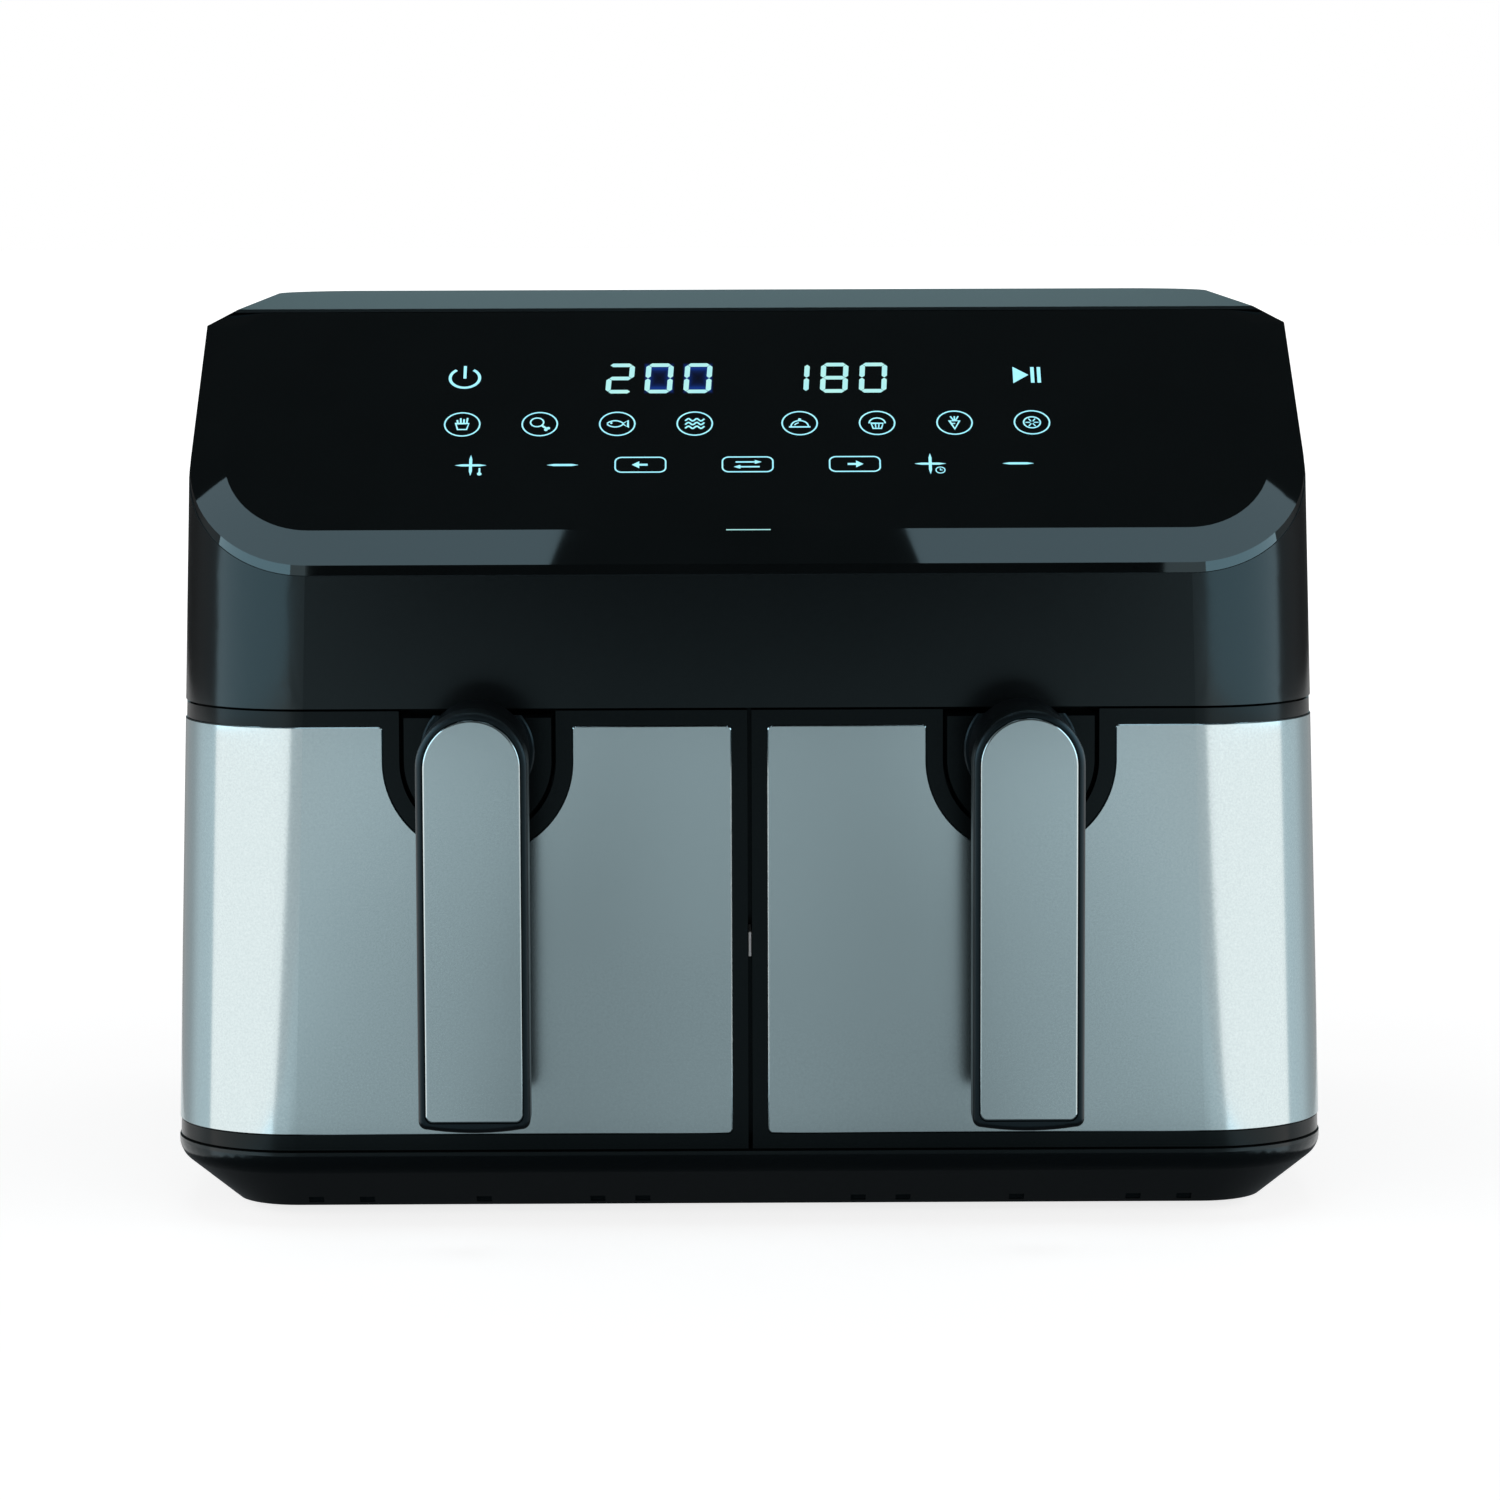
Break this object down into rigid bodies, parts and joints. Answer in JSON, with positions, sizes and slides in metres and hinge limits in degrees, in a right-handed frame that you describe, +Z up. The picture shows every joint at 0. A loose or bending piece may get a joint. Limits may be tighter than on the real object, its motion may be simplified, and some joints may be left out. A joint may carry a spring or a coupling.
{
  "type": "dual-basket air fryer",
  "caption": "Countertop air fryer with side-by-side sliding baskets behind brushed-steel fronts, bar handles and a sloping gloss touch panel.",
  "frame": {"origin": "on the floor under the middle of the whole footprint, handles and rear vent spacers included", "axes": "+Z up, +X to the right seen from the front, -Y out of the drawer fronts towards the user"},
  "size_m": [0.385, 0.3748, 0.3],
  "materials": {
    "black_shell": "fine moulded texture",
    "black_frame": "satin moulded",
    "black_handle": "satin moulded",
    "gloss_panel": "polished",
    "brushed_steel": "fine satin grain",
    "nonstick": "non-stick coating",
    "liner_steel": "aluminised sheet",
    "duct_steel": "plain sheet",
    "bright_steel": "bright",
    "screw_steel": "zinc plated",
    "heater_tube": "heat-tinted tube",
    "motor_iron": "lacquered laminations",
    "fan_aluminium": "pressed sheet",
    "switch_plastic": "moulded",
    "pale_plastic": "moulded",
    "circuit_board": "solder resist",
    "display_module": "cast resin",
    "silicone": "soft matte",
    "rubber": "soft matte"
  },
  "bodies": {
    "housing": {"base_pan": "black_shell", "rubber_feet": "rubber", "base_screws": "screw_steel", "rear_shell": "black_shell", "upper_housing": "black_shell", "front_fascia": "black_frame", "drawer_spacer": "pale_plastic", "control_panel": "gloss_panel", "display_frame": "pale_plastic", "display_board": "circuit_board", "display_modules": "display_module", "power_board": "circuit_board", "cord_gland": "rubber", "cooking_chamber_left": "liner_steel", "cooking_chamber_right": "liner_steel", "temperature_probe_left": "bright_steel", "temperature_probe_right": "bright_steel", "drawer_switch_left": "switch_plastic", "drawer_switch_right": "switch_plastic", "heater_left": "heater_tube", "heater_right": "heater_tube", "heater_guard_left": "bright_steel", "heater_guard_right": "bright_steel", "motor_bracket_left": "liner_steel", "motor_bracket_right": "liner_steel", "motor_left": "motor_iron", "motor_right": "motor_iron", "vent_grille_left": "black_frame", "vent_grille_right": "black_frame", "exhaust_duct_left": "duct_steel", "exhaust_duct_right": "duct_steel"},
    "left_drawer": {"drawer_frame_left": "black_frame", "drawer_cover_left": "black_frame", "steel_skin_left": "brushed_steel", "handle_mount_left": "black_frame", "handle_screws_left": "screw_steel", "handle_left": "black_handle", "handle_insert_left": "brushed_steel", "basket_left": "nonstick"},
    "left_plate": {"crisper_plate_left": "nonstick", "plate_bumpers_left": "silicone"},
    "left_fan": {"fan_shaft_left": "bright_steel", "hot_air_fan_left": "fan_aluminium", "fan_nut_left": "screw_steel", "cooling_fan_left": "switch_plastic"},
    "right_drawer": {"drawer_frame_right": "black_frame", "drawer_cover_right": "black_frame", "steel_skin_right": "brushed_steel", "handle_mount_right": "black_frame", "handle_screws_right": "screw_steel", "handle_right": "black_handle", "handle_insert_right": "brushed_steel", "basket_right": "nonstick"},
    "right_plate": {"crisper_plate_right": "nonstick", "plate_bumpers_right": "silicone"},
    "right_fan": {"fan_shaft_right": "bright_steel", "hot_air_fan_right": "fan_aluminium", "fan_nut_right": "screw_steel", "cooling_fan_right": "switch_plastic"}
  },
  "joints": [
    {"name": "left_drawer_slide", "type": "slide", "parent": "housing", "child": "left_drawer", "axis": [0, -1, 0], "range_m": [0, 0.225]},
    {"name": "left_plate_lift", "type": "slide", "parent": "left_drawer", "child": "left_plate", "axis": [0, 0, 1], "range_m": [0, 0.095]},
    {"name": "left_fan_spin", "type": "hinge", "parent": "housing", "child": "left_fan", "pos_m": [-0.0892, -0.0036, 0.187], "axis": [0, 0, 1], "continuous": true},
    {"name": "right_drawer_slide", "type": "slide", "parent": "housing", "child": "right_drawer", "axis": [0, -1, 0], "range_m": [0, 0.225]},
    {"name": "right_plate_lift", "type": "slide", "parent": "right_drawer", "child": "right_plate", "axis": [0, 0, 1], "range_m": [0, 0.095]},
    {"name": "right_fan_spin", "type": "hinge", "parent": "housing", "child": "right_fan", "pos_m": [0.0892, -0.0036, 0.187], "axis": [0, 0, 1], "continuous": true}
  ]
}
